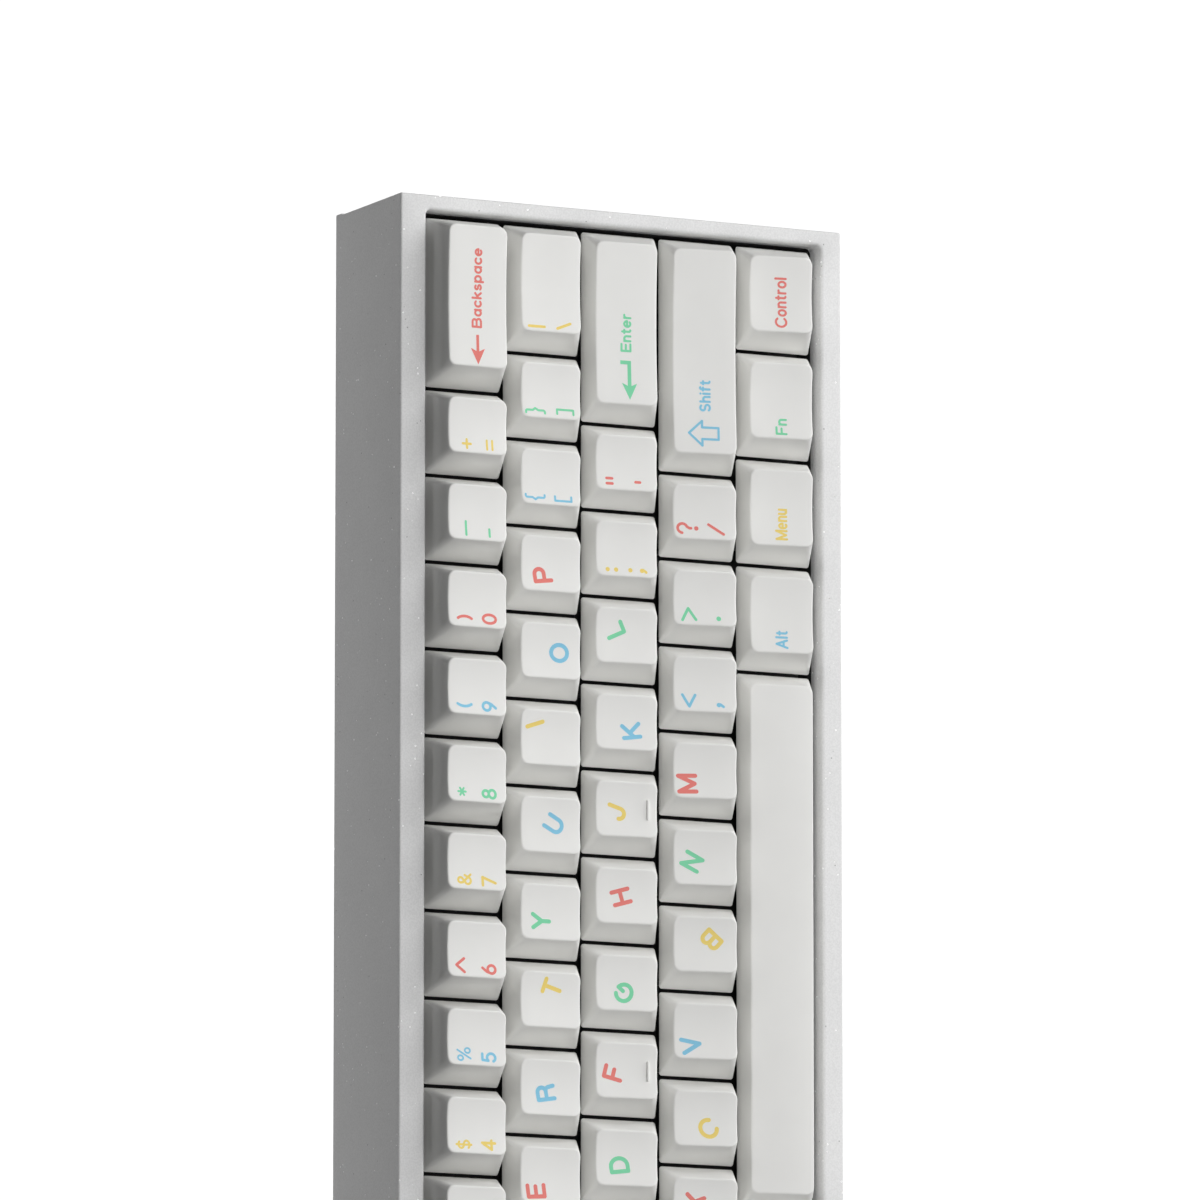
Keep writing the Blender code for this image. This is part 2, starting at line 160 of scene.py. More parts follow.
LETTERS = {
    "q": ("yellow", -1.6, 4.4, 12), "w": ("green", 2.1, 2.4, -14), "e": ("red", -3.5, 5.35, 4),
    "r": ("blue", -1.2, 3.0, 9), "t": ("yellow", 2.6, 1.55, -17), "y": ("green", -2.0, 4.15, 0),
    "u": ("blue", 0.2, 1.05, -29), "i": ("yellow", 2.8, 5.65, 19), "o": ("blue", -0.3, -0.15, 0),
    "p": ("red", -2.45, 3.85, 7), "a": ("blue", 1.7, 2.2, -16), "s": ("red", -2.1, 5.0, 14),
    "d": ("green", -1.5, 3.6, 7), "f": ("red", -0.6, 4.95, -14), "g": ("green", -2.1, 2.5, 48),
    "h": ("red", -0.2, 3.1, 16), "j": ("yellow", -0.8, 4.3, -18), "k": ("blue", -1.8, 0.8, 8),
    "l": ("green", 1.2, 4.6, 25), "z": ("blue", -2.4, 2.4, 10), "x": ("red", 0.9, 4.3, -12),
    "c": ("yellow", -2.2, 1.35, -47), "v": ("blue", -3.05, 5.1, 11), "b": ("yellow", 1.05, 0.55, 139),
    "n": ("green", -0.95, 4.8, -28), "m": ("red", -2.9, 5.9, 2),
}
TIERS = {
    "grave": ("green", "~", "`"), "1": ("blue", "!", "1"), "2": ("red", "@", "2"),
    "3": ("green", "#", "3"), "4": ("yellow", "$", "4"), "5": ("blue", "%", "5"),
    "6": ("red", "^", "6"), "7": ("yellow", "&", "7"), "8": ("green", "*", "8"),
    "9": ("blue", "(", "9"), "0": ("red", ")", "0"), "minus": ("green", "_", "-"),
    "equals": ("yellow", "+", "="), "left_bracket": ("blue", "{", "["),
    "right_bracket": ("green", "}", "]"), "backslash": ("yellow", "|", "\\"),
    "semicolon": ("yellow", ":", ";"), "quote": ("red", "\"", "'"),
    "comma": ("blue", "<", ","), "full_stop": ("green", ">", "."), "slash": ("red", "?", "/"),
}
WORDS = {
    "tab": ("red", "Tab", -7.5, -1.9, 2.9), "caps_lock": ("green", "Caps Lock", -7.6, 7.7, 2.6),
    "left_control": ("red", "Control", -7.5, 3.8, 2.85),
    "left_command": ("green", "Super", -7.5, 1.4, 2.85),
    "left_alt": ("blue", "Alt", -7.5, -3.4, 2.9), "right_alt": ("blue", "Alt", -7.5, -3.4, 2.9),
    "menu": ("yellow", "Menu", -7.2, -0.1, 2.9), "fn": ("green", "Fn", -7.6, -3.9, 2.7),
    "right_control": ("red", "Control", -7.5, 3.8, 2.85),
}

# Strokes of the legends' characters, in hundredths of the cap height. Each entry has the character's width
# and its strokes. A stroke is a run of points (x, y), of ellipses (x, y, radius x, radius y) and of arcs,
# which have their start and end in degrees as well.
GLYPH_UNITS = 100
GLYPHS = {
    "A": (78, [[(0, 0), (39, 100), (78, 0)], [(16, 34), (62, 34)]]),
    "B": (72, [[(0, 0), (0, 100), (42, 100), (43, 76, 24, 24, 90, -90), (0, 52)], [(42, 52),
          (45, 26, 27, 26, 90, -90), (0, 0)]]),
    "C": (82, [[(46, 50, 46, 50, 42, 318)]]),
    "D": (76, [[(0, 0), (0, 100), (30, 100), (32, 50, 44, 50, 90, -90), (0, 0)]]),
    "E": (64, [[(64, 100), (0, 100), (0, 0), (64, 0)], [(0, 51), (58, 51)]]),
    "F": (62, [[(62, 100), (0, 100), (0, 0)], [(0, 48), (52, 48)]]),
    "G": (90, [[(46, 50, 45, 50, 42, 348), (91, 46), (56, 46)]]),
    "H": (74, [[(0, 0), (0, 100)], [(74, 0), (74, 100)], [(0, 50), (74, 50)]]),
    "I": (0, [[(0, 0), (0, 100)]]),
    "J": (60, [[(60, 100), (60, 30), (30, 30, 30, 30, 0, -170)]]),
    "K": (74, [[(0, 0), (0, 100)], [(70, 100), (0, 36)], [(26, 60), (74, 0)]]),
    "L": (60, [[(0, 100), (0, 0), (60, 0)]]),
    "M": (92, [[(0, 0), (0, 100), (46, 6), (92, 100), (92, 0)]]),
    "N": (76, [[(0, 0), (0, 100), (76, 0), (76, 100)]]),
    "O": (92, [[(46, 50, 46, 50)]]),
    "P": (70, [[(0, 0), (0, 100), (40, 100), (42, 71, 28, 29, 90, -90), (0, 42)]]),
    "Q": (92, [[(46, 50, 46, 50)], [(56, 30), (90, -2)]]),
    "R": (72, [[(0, 0), (0, 100), (42, 100), (43, 74, 26, 26, 90, -90), (0, 48)], [(42, 48),
          (48, 28, 20, 20, 90, 0), (72, 0)]]),
    "S": (58, [[(29, 74.5, 26, 25.5, 40, 270), (29, 25, 29, 25, 90, -145)]]),
    "T": (74, [[(0, 100), (74, 100)], [(37, 100), (37, 0)]]),
    "U": (74, [[(0, 100), (0, 36), (37, 36, 37, 36, 180, 360), (74, 100)]]),
    "V": (78, [[(0, 100), (39, 0), (78, 100)]]),
    "W": (100, [[(0, 100), (25, 0), (50, 80), (75, 0), (100, 100)]]),
    "X": (64, [[(0, 0), (64, 100)], [(0, 100), (64, 0)]]),
    "Y": (76, [[(0, 100), (38, 46), (76, 100)], [(38, 46), (38, 0)]]),
    "Z": (60, [[(0, 100), (60, 100), (0, 0), (60, 0)]]),
    "0": (62, [[(31, 50, 31, 50)]]),
    "1": (26, [[(0, 80), (26, 100), (26, 0)]]),
    "2": (58, [[(28, 72, 28, 28, 165, -38), (0, 0), (58, 0)]]),
    "3": (56, [[(27, 75.5, 25, 24.5, 150, -90), (27, 26.5, 29, 26.5, 90, -150)]]),
    "4": (64, [[(46, 0), (46, 100), (0, 28), (64, 28)]]),
    "5": (56, [[(52, 100), (8, 100), (5, 55), (27, 32, 29, 32, 128, -150)]]),
    "6": (58, [[(29, 30, 29, 30)], [(3, 42), (12, 68), (38, 100)]]),
    "7": (58, [[(0, 100), (58, 100), (20, 0)]]),
    "8": (58, [[(29, 76.5, 24, 23.5)], [(29, 26.5, 29, 26.5)]]),
    "9": (58, [[(29, 70, 29, 30)], [(55, 58), (46, 32), (20, 0)]]),
    "!": (0, [[(0, 100), (0, 34)], [(0, 2, 5, 5)]]),
    "@": (100, [[(50, 45, 18, 20)], [(68, 62), (68, 38), (84, 42, 16, 16, 190, 360),
          (50, 45, 50, 50, 5, 310)]]),
    "#": (72, [[(22, 0), (30, 100)], [(46, 0), (54, 100)], [(0, 34), (70, 34)], [(4, 66), (74, 66)]]),
    "$": (58, [[(29, 71.5, 25, 21, 40, 270), (29, 28.5, 28, 22, 90, -145)], [(29, 108), (29, -8)]]),
    "%": (90, [[(18, 78, 17, 20)], [(72, 22, 17, 20)], [(74, 100), (16, 0)]]),
    "^": (96, [[(0, 49), (48, 109), (96, 49)]]),
    "&": (72, [[(72, 0), (14, 62), (30, 79, 19, 19, 205, -35), (16, 42), (28, 24, 25, 24, 140, 335),
          (66, 46)]]),
    "*": (74, [[(37, 98), (37, 40)], [(12, 83.5), (62, 54.5)], [(12, 54.5), (62, 83.5)]]),
    "(": (40, [[(68, 50, 48, 72, 132, 228)]]),
    ")": (40, [[(-8, 50, 48, 72, 48, -48)]]),
    "_": (98, [[(0, 40), (98, 40)]]),
    "-": (52, [[(0, 50), (52, 50)]]),
    "+": (62, [[(0, 36), (62, 36)], [(31, 5), (31, 67)]]),
    "=": (66, [[(0, 71), (66, 71)], [(0, 29), (66, 29)]]),
    "{": (34, [[(34, 146), (26, 134, 12, 12, 90, 180), (14, 94), (0, 73), (14, 52),
          (26, 12, 12, 12, 180, 270), (34, 0)]]),
    "}": (34, [[(0, 146), (8, 134, 12, 12, 90, 0), (20, 94), (34, 73), (20, 52), (8, 12, 12, 12, 0, -90),
          (0, 0)]]),
    "[": (32, [[(32, 113), (0, 113), (0, -13), (32, -13)]]),
    "]": (32, [[(4, 98), (36, 98), (36, -28), (4, -28)]]),
    "|": (0, [[(0, 5), (0, 125)]]),
    "\\": (36, [[(-5, 98), (36, -3)]]),
    ":": (20, [[(13, 93.5, 6, 6)], [(13, 30.5, 6, 6)]]),
    ";": (20, [[(14, 116.5, 6, 6)], [(14, 29, 6, 6), (19, 18), (4, -2)]]),
    "\"": (48, [[(10, 100), (10, 58)], [(48, 100), (48, 58)]]),
    "'": (29, [[(29, 76), (29, 43)]]),
    "<": (85, [[(85, 112), (2, 66), (85, 20)]]),
    ">": (87, [[(1, 115), (87, 69.5), (6, 17.5)]]),
    ",": (25, [[(19, 45, 6, 6), (24, 34), (8, 12)]]),
    ".": (25, [[(19, 45, 7, 7)]]),
    "?": (72, [[(42, 112, 34, 35, 172, -68), (44, 62), (44, 50)], [(44, 12, 6, 6)]]),
    "/": (76, [[(9, 9), (76, 115)]]),
    "~": (60, [[(0, 45), (15, 45, 15, 12, 180, 0), (45, 45, 15, 12, 180, 360)]]),
    "`": (20, [[(0, 100), (20, 76)]]),
    "a": (50, [[(25, 34, 25, 34)], [(50, 70), (50, 0)]]),
    "b": (50, [[(25, 34, 25, 34)], [(0, 100), (0, 0)]]),
    "c": (46, [[(27, 34, 27, 34, 48, 312)]]),
    "e": (52, [[(1, 36), (52, 36), (26, 34, 26, 34, 4, 308)]]),
    "f": (30, [[(30, 98), (26, 86, 14, 14, 90, 180), (12, 0)], [(0, 70), (28, 70)]]),
    "h": (46, [[(0, 0), (0, 100)], [(0, 42), (23, 44, 23, 24, 180, 0), (46, 0)]]),
    "i": (0, [[(0, 0), (0, 68)], [(0, 97), (0, 96)]]),
    "k": (46, [[(0, 0), (0, 100)], [(43, 68), (0, 27)], [(16, 42), (46, 0)]]),
    "l": (0, [[(0, 0), (0, 100)]]),
    "n": (46, [[(0, 0), (0, 68)], [(0, 42), (23, 44, 23, 24, 180, 0), (46, 0)]]),
    "o": (54, [[(27, 34, 27, 34)]]),
    "p": (50, [[(25, 34, 25, 34)], [(0, 68), (0, -26)]]),
    "r": (28, [[(0, 0), (0, 68)], [(0, 40), (24, 42, 24, 26, 180, 80)]]),
    "s": (40, [[(20, 51, 18, 17, 40, 270), (20, 17, 20, 17, 90, -150)]]),
    "t": (30, [[(13, 90), (13, 14), (27, 14, 14, 14, 180, 270)], [(0, 68), (29, 68)]]),
    "u": (46, [[(0, 68), (0, 24), (23, 24, 23, 24, 180, 360), (46, 68)], [(46, 68), (46, 0)]]),
}

# Shares of the usual stroke width in the busier characters.
FINE_STROKES = {
    "%": 0.68, "&": 0.85, "*": 0.75, "$": 0.8, "#": 0.75, "@": 0.62, "=": 0.8, "_": 0.85,
    "-": 0.85, "[": 0.8, "]": 0.8, "{": 0.8, "}": 0.8, "+": 0.9, "~": 0.85,
}

# Widths in shares of the cap height, and the degrees and counts that strokes are sampled with.
SPACE_WIDTH = 0.3
TRACKING = 0.30
ARC_STEP = 15.0
CAP_ARC_STEPS = 8

# A legend stands this far above the cap's top and reaches this far into it, in millimetres. It is cut into
# strips so that it follows the dish.
INLAY_LIFT = 0.012
INLAY_DEPTH = 0.12
INLAY_STRIP = 0.8
CUT_TOLERANCE = 1e-5


def tilt_matrix():
    """Rotation of the plate's frame, from the direction in which the keys travel."""
    travel = Vector(frame["joints"][0]["axis"])
    return Matrix.Rotation(math.atan2(travel.y, -travel.z), 4, "X")


TILT = tilt_matrix()


def tilted_bounds(node):
    """Lowest and highest corner of a CAD node in the turned frame, in millimetres."""
    turned = TILT.inverted()
    points = [turned @ vert.co / MM for vert in frame["nodes"][node].data.vertices]
    low = Vector(min(point[axis] for point in points) for axis in range(3))
    high = Vector(max(point[axis] for point in points) for axis in range(3))
    return low, high


PLATE_LOW, PLATE_HIGH = tilted_bounds("switch_plate")
ORIGIN = Vector((0, PLATE_LOW.y + PLATE_MARGIN, PLATE_HIGH.z + PLATE_DEPTH))
PLACE = TILT @ Matrix.Translation(ORIGIN * MM)
LAYOUT_X = PLATE_HIGH.x - PLATE_MARGIN
LAYOUT_Y = len(ROWS) * KEY_PITCH
CAP_DEPTH = KEY_PITCH - KEY_GAP


def in_plate_frame(node):
    """Lowest and highest corner of a CAD node in the plate's frame, in millimetres."""
    low, high = tilted_bounds(node)
    return low - ORIGIN, high - ORIGIN


def add_object(name, bm, material, matrix=PLACE, smooth_angle=38.0):
    """Makes an object from a bmesh in millimetres, which it frees. Its mesh is in the world's frame."""
    bmesh.ops.transform(bm, matrix=matrix @ Matrix.Scale(MM, 4), verts=bm.verts)
    bmesh.ops.recalc_face_normals(bm, faces=bm.faces)
    mesh = bpy.data.meshes.new(name)
    bm.to_mesh(mesh)
    bm.free()
    mesh.shade_smooth()
    mesh.set_sharp_from_angle(angle=math.radians(smooth_angle))
    mesh.materials.append(material)
    obj = bpy.data.objects.new(name, mesh)
    bpy.context.scene.collection.objects.link(obj)
    return obj


# Materials


def new_material(name, roughness, metallic=0.0):
    """A material with its node tree and its shader."""
    material = bpy.data.materials.new(name)
    material.use_nodes = True
    tree = material.node_tree
    shader = tree.nodes["Principled BSDF"]
    shader.inputs["Roughness"].default_value = roughness
    shader.inputs["Metallic"].default_value = metallic
    return material, tree, shader


def add_node(tree, kind, inputs=(), **settings):
    node = tree.nodes.new(kind)
    for key, value in settings.items():
        setattr(node, key, value)
    for key, value in dict(inputs).items():
        if isinstance(value, bpy.types.NodeSocket):
            tree.links.new(value, node.inputs[key])
        else:
            node.inputs[key].default_value = value
    return node


def object_space(tree):
    return add_node(tree, "ShaderNodeTexCoord").outputs["Object"]


def add_noise(tree, scale, detail=2.0):
    inputs = {"Vector": object_space(tree), "Scale": scale, "Detail": detail}
    return add_node(tree, "ShaderNodeTexNoise", inputs).outputs["Fac"]


def add_ramp(tree, value, stops):
    """Colour ramp between two (position, colour) stops."""
    node = add_node(tree, "ShaderNodeValToRGB", {"Fac": value})
    for element, (position, colour) in zip(node.color_ramp.elements, stops):
        element.position = position
        element.color = (*colour, 1)
    return node.outputs["Color"]


def add_math(tree, operation, first, second):
    return add_node(tree, "ShaderNodeMath", {0: first, 1: second}, operation=operation).outputs[0]


def add_vector_math(tree, operation, inputs):
    return add_node(tree, "ShaderNodeVectorMath", inputs, operation=operation).outputs[0]


def mix_colours(tree, share, first, second, blend_type="MIX"):
    """Mix of two colours, of which the second may be a plain colour."""
    inputs = {0: share, 6: first, 7: second}
    return add_node(tree, "ShaderNodeMix", inputs, data_type="RGBA", blend_type=blend_type).outputs[2]


def add_bump(tree, height, strength, distance):
    inputs = {"Height": height, "Strength": strength, "Distance": distance}
    return add_node(tree, "ShaderNodeBump", inputs).outputs["Normal"]


# Spots of slightly other colour per metre, and the depth of the moulded grain in metres.
TINT_SCALE = 90.0
GRAIN_DEPTH = 0.00004


def varied(name, colour, spread, roughness, metallic=0.0, grain=4000.0, bump=0.0):
    """Material whose colour wanders by `spread` around `colour`, with a fine-grained bump."""
    material, tree, shader = new_material(name, roughness, metallic)
    low = [max(0.0, part * (1 - spread)) for part in colour]
    high = [min(1.0, part * (1 + spread)) for part in colour]
    tint = add_ramp(tree, add_noise(tree, TINT_SCALE), ((0.3, low), (0.7, high)))
    tree.links.new(tint, shader.inputs["Base Color"])
    if bump:
        normal = add_bump(tree, add_noise(tree, grain), bump, GRAIN_DEPTH)
        tree.links.new(normal, shader.inputs["Normal"])
    return material


CAP_WHITE = (0.88, 0.877, 0.855)
LEGEND_COLOURS = {
    "red": (0.84, 0.20, 0.17), "yellow": (0.90, 0.69, 0.16),
    "green": (0.20, 0.72, 0.41), "blue": (0.23, 0.60, 0.82),
}

# The case's surface: scale per metre and greys of its tint and of its blasted grain, then the cells that can
# hold a flake, the shares of them with a bright flake and with a dark speck, and how much of its cell a flake
# fills, how far it leans out of the surface and the strength of its painted glint, a glow given off as
# emission.
CASE_TINT_SCALE = 60.0
CASE_GREYS = ((0.3, (0.81, 0.81, 0.81)), (0.7, (0.84, 0.84, 0.84)))
BLAST_SCALE = 2600.0
BLAST_GREYS = ((0.35, (0.92, 0.92, 0.92)), (0.65, (1, 1, 1)))
BLAST_DEPTH = 0.00003
FLAKE_CELLS = 2500.0
FLAKE_SHARE = 0.007
SPECK_SHARE = 0.0015
FLAKE_FILL = 0.40
FLAKE_LEAN = 1.6
FLAKE_PAINTED_GLINT = 0.8
FLAKE_TONE = (1.0, 1.0, 1.0, 1)
SPECK_TONE = (0.40, 0.40, 0.40, 1)


def make_cap_material():
    """White plastic with the fine moulded texture of a keycap."""
    return varied("keycap_plastic", CAP_WHITE, 0.012, 0.52, grain=5200.0, bump=0.35)


def make_case_material():
    """Blasted and anodised light grey metal: fine grain, scattered flakes that glow with a painted glint, and
    a few dark specks.
    """
    material, tree, shader = new_material("blasted_case", 0.5)
    tint = add_ramp(tree, add_noise(tree, CASE_TINT_SCALE), CASE_GREYS)
    grain = add_ramp(tree, add_noise(tree, BLAST_SCALE, 1.0), BLAST_GREYS)
    colour = mix_colours(tree, 1.0, tint, grain, "MULTIPLY")
    cells = add_node(tree, "ShaderNodeTexVoronoi", {"Vector": object_space(tree), "Scale": FLAKE_CELLS})
    pick = add_node(tree, "ShaderNodeSeparateColor", {"Color": cells.outputs["Color"]})
    near = add_math(tree, "LESS_THAN", cells.outputs["Distance"], FLAKE_FILL)
    masks = []
    for channel, share in (("Red", FLAKE_SHARE), ("Green", SPECK_SHARE)):
        rare = add_math(tree, "LESS_THAN", pick.outputs[channel], share)
        masks.append(add_math(tree, "MULTIPLY", rare, near))
    flakes, specks = masks
    for mask, tone in ((flakes, FLAKE_TONE), (specks, SPECK_TONE)):
        colour = mix_colours(tree, mask, colour, tone)
    tree.links.new(colour, shader.inputs["Base Color"])
    normal = add_bump(tree, add_noise(tree, BLAST_SCALE), 0.25, BLAST_DEPTH)
    spin = add_vector_math(tree, "SUBTRACT", {0: cells.outputs["Color"], 1: (0.5, 0.5, 0.3)})
    lean = add_vector_math(tree, "SCALE", {0: spin, "Scale": FLAKE_LEAN})
    unit = add_vector_math(tree, "NORMALIZE", {0: add_vector_math(tree, "ADD", {0: normal, 1: lean})})
    turned = add_node(tree, "ShaderNodeMix", {0: flakes, 4: normal, 5: unit}, data_type="VECTOR")
    tree.links.new(turned.outputs[1], shader.inputs["Normal"])
    # Painted glint: the flakes glow by emission, each at its own random strength, so they stay bright in
    # shade.
    painted_glint = add_math(tree, "MULTIPLY", flakes, pick.outputs["Blue"])
    tree.links.new(add_math(tree, "MULTIPLY", painted_glint, FLAKE_PAINTED_GLINT), shader.inputs["Emission Strength"])
    shader.inputs["Emission Color"].default_value = (1, 1, 1, 1)
    return material


MATERIALS = {
    "cap": make_cap_material(),
    "case": make_case_material(),
    "plate": varied("dark_plate", (0.02, 0.02, 0.02), 0.15, 0.45, 0.5, 3000.0, 0.2),
    "housing": varied("housing_plastic", (0.015, 0.015, 0.016), 0.2, 0.5, 0.0, 4000.0, 0.2),
    "board": varied("solder_mask", (0.010, 0.016, 0.013), 0.25, 0.35, 0.0, 900.0, 0.2),
    "socket": varied("socket_steel", (0.60, 0.59, 0.57), 0.06, 0.30, 1.0, 2500.0, 0.15),
    # Painted shade: plain black for the strip that darkens the lower inner walls of the opening.
    "lining": varied("black_foam", (0.012, 0.012, 0.012), 0.2, 0.9, 0.0, 2500.0, 0.6),
    "rubber": varied("foot_rubber", (0.022, 0.022, 0.023), 0.2, 0.78, 0.0, 1800.0, 0.5),
    "steel": varied("zinc_steel", (0.52, 0.52, 0.53), 0.08, 0.30, 1.0, 2500.0, 0.1),
    "stem": varied("stem_plastic", (0.36, 0.055, 0.05), 0.06, 0.32, 0.0, 3000.0, 0.1),
}
for legend, tone in LEGEND_COLOURS.items():
    MATERIALS[legend] = varied("legend_" + legend, tone, 0.03, 0.5, 0.0, 5200.0, 0.3)


# Rounded outlines and shells


def edge_line(half, y, inward, radius, straight):
    """One long edge of a rounded rectangle with its two corners, from left to right."""
    corner = []
    for step in range(CORNER_STEPS + 1):
        angle = math.pi / 2 * step / CORNER_STEPS
        x = -half + radius * (1 - math.cos(angle))
        corner.append((x, y + inward * radius * (1 - math.sin(angle))))
    span = half - radius
    middle = [(-span + 2 * span * step / straight, y) for step in range(1, straight)]
    return corner + middle + [(-x, y) for x, y in reversed(corner)]


class Outline:
    """A rounded rectangle around an x centre, sampled so that any two of them match point by point."""

    def __init__(self, centre_x, half, front, rear, front_radius, rear_radius):
        self.shape = (centre_x, half, front, rear, front_radius, rear_radius)

    def grown(self, amount):
        centre_x, half, front, rear, front_radius, rear_radius = self.shape
        front_radius = max(front_radius + amount, 0.05)
        rear_radius = max(rear_radius + amount, 0.05)
        return Outline(centre_x, half + amount, front - amount, rear + amount, front_radius, rear_radius)

    def rows(self, straight, across):
        """Grid of points: rows from the rear edge to the front edge."""
        centre_x, half, front, rear, front_radius, rear_radius = self.shape
        rear_line = edge_line(half, rear, -1, rear_radius, straight)
        front_line = edge_line(half, front, 1, front_radius, straight)
        grid = []
        for step in range(across + 1):
            share = step / across
            row = []
            for (x0, y0), (x1, y1) in zip(rear_line, front_line):
                row.append((centre_x + x0 + (x1 - x0) * share, y0 + (y1 - y0) * share))
            grid.append(row)
        return grid

    def around(self, straight, across):
        """The outline's points, once round."""
        grid = self.rows(straight, across)
        right = [row[-1] for row in grid[1:-1]]
        left = [row[0] for row in grid[1:-1]]
        return grid[0] + right + grid[-1][::-1] + left[::-1]

    def level(self, z, straight, across):
        """The outline's points, once round, at one height."""
        return [(x, y, z) for x, y in self.around(straight, across)]


def add_ring(bm, points):
    return [bm.verts.new(point) for point in points]


def join_rings(bm, rings, closed=False):
    """Quads between successive rings, and from the last to the first if closed."""
    pairs = list(zip(rings, rings[1:]))
    if closed:
        pairs.append((rings[-1], rings[0]))
    for lower, upper in pairs:
        count = len(lower)
        for i in range(count):
            j = (i + 1) % count
            bm.faces.new((lower[i], lower[j], upper[j], upper[i]))


def add_plug(bm, sections):
    """A solid between successive sections, flat at both ends."""
    rings = [add_ring(bm, section) for section in sections]
    join_rings(bm, rings)
    bm.faces.new(rings[0])
    bm.faces.new(rings[-1])


def fill_ring(bm, ring, columns, across, height):
    """Fills a ring from Outline.around with a grid; height gives Z at X and Y."""
    grid = [[None] * (columns + 1) for _ in range(across + 1)]
    grid[0] = ring[:columns + 1]
    grid[across] = ring[columns + across:2 * columns + across + 1][::-1]
    for step in range(1, across):
        grid[step][columns] = ring[columns + step]
        grid[step][0] = ring[len(ring) - step]
        for i in range(1, columns):
            point = grid[0][i].co.lerp(grid[across][i].co, step / across)
            point.z = height(point.x, point.y)
            grid[step][i] = bm.verts.new(point)
    for step in range(across):
        for i in range(columns):
            bm.faces.new((grid[step][i], grid[step][i + 1], grid[step + 1][i + 1], grid[step + 1][i]))


def disc(radius, z):
    """Points of a level circle around the origin."""
    angles = [math.tau * step / ROUND_STEPS for step in range(ROUND_STEPS)]
    return [Vector((radius * math.cos(angle), radius * math.sin(angle), z)) for angle in angles]


def hexagon(radius, z):
    """Points on a hexagon, as many as on the circles around it."""
    points = []
    for point in disc(1.0, z):
        angle = math.atan2(point.y, point.x) % (math.tau / 6) - math.tau / 12
        points.append(Vector((point.x, point.y, 0)) * radius * math.cos(math.pi / 6) / math.cos(angle))
        points[-1].z = z
    return points


# Keycaps


class Cap:
    """Size, place and top surface of one keycap."""

    def __init__(self, name, row, units, x, y):
        self.name = name
        self.row = row
        self.width = units * KEY_PITCH - KEY_GAP
        self.x = x
        self.y = y
        self.rear_top, self.front_top = CAP_TOPS[row]
        self.half_top = self.width / 2 - CAP_SIDE_TAPER
        self.rear_edge = CAP_DEPTH / 2 - CAP_REAR_TAPER
        self.front_edge = -CAP_DEPTH / 2 + CAP_FRONT_TAPER

    def top(self, x, y):
        """Height of the top surface at a place on the cap, measured from the cap's middle."""
        share = (y - self.front_edge) / (self.rear_edge - self.front_edge)
        height = self.front_top + (self.rear_top - self.front_top) * share
        if self.name == "space":
            return height + SPACE_CROWN * (1 - (2 * share - 1) ** 2)
        return height + CAP_DISH * (x / self.half_top) ** 2

    def top_at(self, x, y):
        return self.top(x - self.x, y - self.y)

    def outline(self, half, front, rear, front_radius, rear_radius):
        return Outline(self.x, half, self.y + front, self.y + rear, front_radius, rear_radius)

    def skirt(self):
        half = self.width / 2 + SKIRT_FLARE
        return self.outline(half, -CAP_DEPTH / 2, CAP_DEPTH / 2, SKIRT_CORNER, SKIRT_CORNER)

    def rim(self):
        return self.outline(
            self.half_top, self.front_edge, self.rear_edge, TOP_FRONT_CORNER, TOP_REAR_CORNER)

    def section(self, height):
        """Outline of the outside at a height, on its flat sloping sides."""
        share = height / ((self.rear_top + self.front_top) / 2)
        half = self.width / 2 + SKIRT_FLARE * (1 - share) - CAP_SIDE_TAPER * share
        front = -CAP_DEPTH / 2 + CAP_FRONT_TAPER * share
        return self.outline(half, front, CAP_DEPTH / 2 - CAP_REAR_TAPER * share, SKIRT_CORNER, SKIRT_CORNER)


def cap_list():
    caps = []
    for row, keys in enumerate(ROWS):
        left = -LAYOUT_X
        for name in keys:
            units = WIDTHS.get(name, 1)
            middle = left + units * KEY_PITCH / 2
            caps.append(Cap(name, row, units, middle, (len(ROWS) - row - 0.5) * KEY_PITCH))
            left += units * KEY_PITCH
    return caps


def cap_body(cap):
    """The CAD body that a key moves with: its own, or that of the joined keys at the row's left end."""
    own = "key_" + cap.name
    return own if own in frame["bodies"] else "left_keys_row_" + str(cap.row + 1)


def rim_curve(start, corner, end, share):
    """Point on the rounding that leads from the side over the rim to the top."""
    return start * (1 - share) ** 2 + corner * (2 * share * (1 - share)) + end * share ** 2


